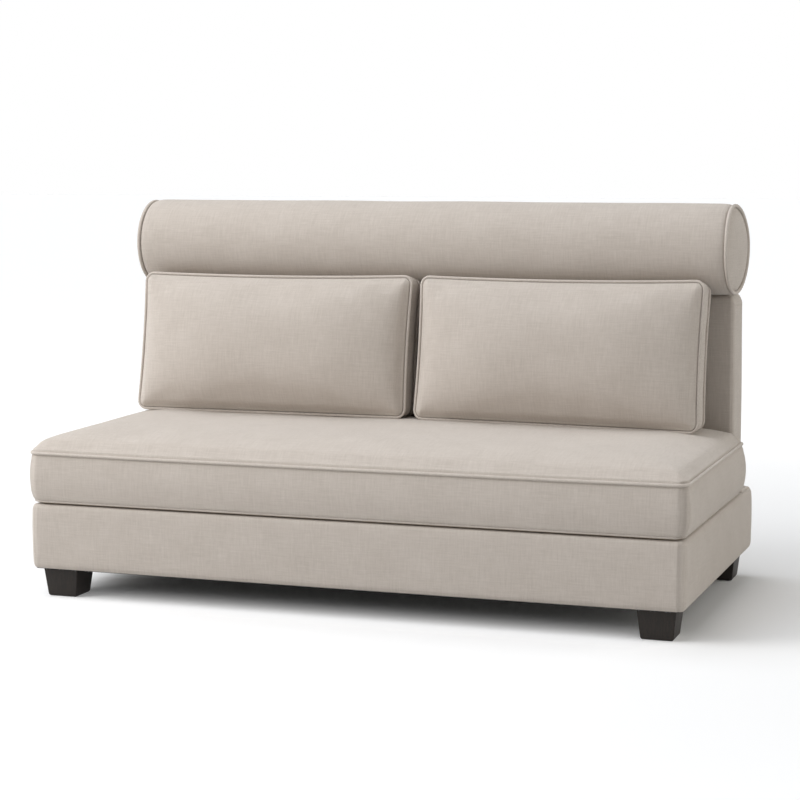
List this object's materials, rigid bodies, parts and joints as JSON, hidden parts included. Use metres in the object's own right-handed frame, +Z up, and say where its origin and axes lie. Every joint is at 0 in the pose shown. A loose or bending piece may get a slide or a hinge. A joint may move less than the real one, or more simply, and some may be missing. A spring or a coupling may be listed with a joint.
{
  "type": "sofa bed",
  "caption": "Armless upholstered sofa bed with a crowned seat block, reclining backrest, round head roll and loose piped back cushions on tapered dark feet.",
  "frame": {"origin": "middle of the outline, on the floor", "axes": "+X along the sofa's width, to the right of someone facing it; +Y from its front to its rear; +Z up"},
  "size_m": [1.9, 1.012, 1.1183],
  "materials": {
    "linen_cloth": "matte",
    "piping_cloth": "matte",
    "foam": "matte",
    "timber": "matte",
    "foot_wood": "satin",
    "bright_steel": "satin",
    "black_steel": "satin",
    "black_plastic": "matte",
    "black_lining": "matte"
  },
  "bodies": {
    "base": {"base_front_board": "timber", "base_rear_board": "timber", "base_side_boards": "timber", "base_cross_rails": "timber", "base_corner_blocks": "timber", "base_deck": "timber", "base_dust_sheet": "black_lining", "base_front_cover": "linen_cloth", "base_rear_cover": "linen_cloth", "base_left_cover": "linen_cloth", "base_right_cover": "linen_cloth", "rear_ledge_cover": "linen_cloth", "foot_front_left": "foot_wood", "foot_front_right": "foot_wood", "foot_rear_left": "foot_wood", "foot_rear_right": "foot_wood", "foot_bolts": "bright_steel", "foot_glides": "black_plastic", "anti_slip_strips": "black_plastic", "seat_board": "timber", "seat_springs": "foam", "seat_foam": "foam", "seat_cover": "linen_cloth", "seat_piping": "piping_cloth", "hinge_brackets": "black_steel", "hinge_bushes": "black_plastic", "ratchet_housings": "black_steel", "bracket_screws": "bright_steel"},
    "backrest": {"back_rails": "timber", "back_stiles": "timber", "back_webbing": "black_lining", "back_foam": "foam", "back_rear_board": "timber", "back_cover": "linen_cloth", "back_side_covers": "linen_cloth", "hinge_arms": "bright_steel", "hinge_pins": "bright_steel", "roll_sleeves": "bright_steel", "leg_brackets": "black_steel", "support_leg_pins": "bright_steel"},
    "support_frame": {"support_legs": "black_steel", "support_crossbar": "black_steel", "support_leg_tips": "black_plastic"},
    "head_roll": {"roll_core": "timber", "roll_foam": "foam", "roll_cover": "linen_cloth", "roll_end_caps": "linen_cloth", "roll_piping": "piping_cloth", "roll_posts": "bright_steel"},
    "left_cushion": {"cushion_left_cover": "linen_cloth", "cushion_left_filling": "foam", "cushion_left_piping": "piping_cloth", "cushion_left_zip": "black_plastic"},
    "right_cushion": {"cushion_right_cover": "linen_cloth", "cushion_right_filling": "foam", "cushion_right_piping": "piping_cloth", "cushion_right_zip": "black_plastic"}
  },
  "joints": [
    {"name": "back_recline", "type": "hinge", "parent": "base", "child": "backrest", "pos_m": [0, 0.39125, 0.34275], "axis": [-1, 0, 0], "range_deg": [0, 90]},
    {"name": "support_swing", "type": "hinge", "parent": "backrest", "child": "support_frame", "pos_m": [0, 0.477, 0.78275], "axis": [-1, 0, 0], "range_deg": [-90, 0]},
    {"name": "roll_lift", "type": "slide", "parent": "backrest", "child": "head_roll", "axis": [0, 0, 1], "range_m": [0, 0.12]},
    {"name": "left_cushion_lift", "type": "slide", "parent": "base", "child": "left_cushion", "axis": [0, -0.8, 0.6], "range_m": [0, 0.6]},
    {"name": "right_cushion_lift", "type": "slide", "parent": "base", "child": "right_cushion", "axis": [0, -0.8, 0.6], "range_m": [0, 0.6]}
  ],
  "couplings": [
    {"joint": "support_swing", "follows": "back_recline", "ratio": -1}
  ]
}
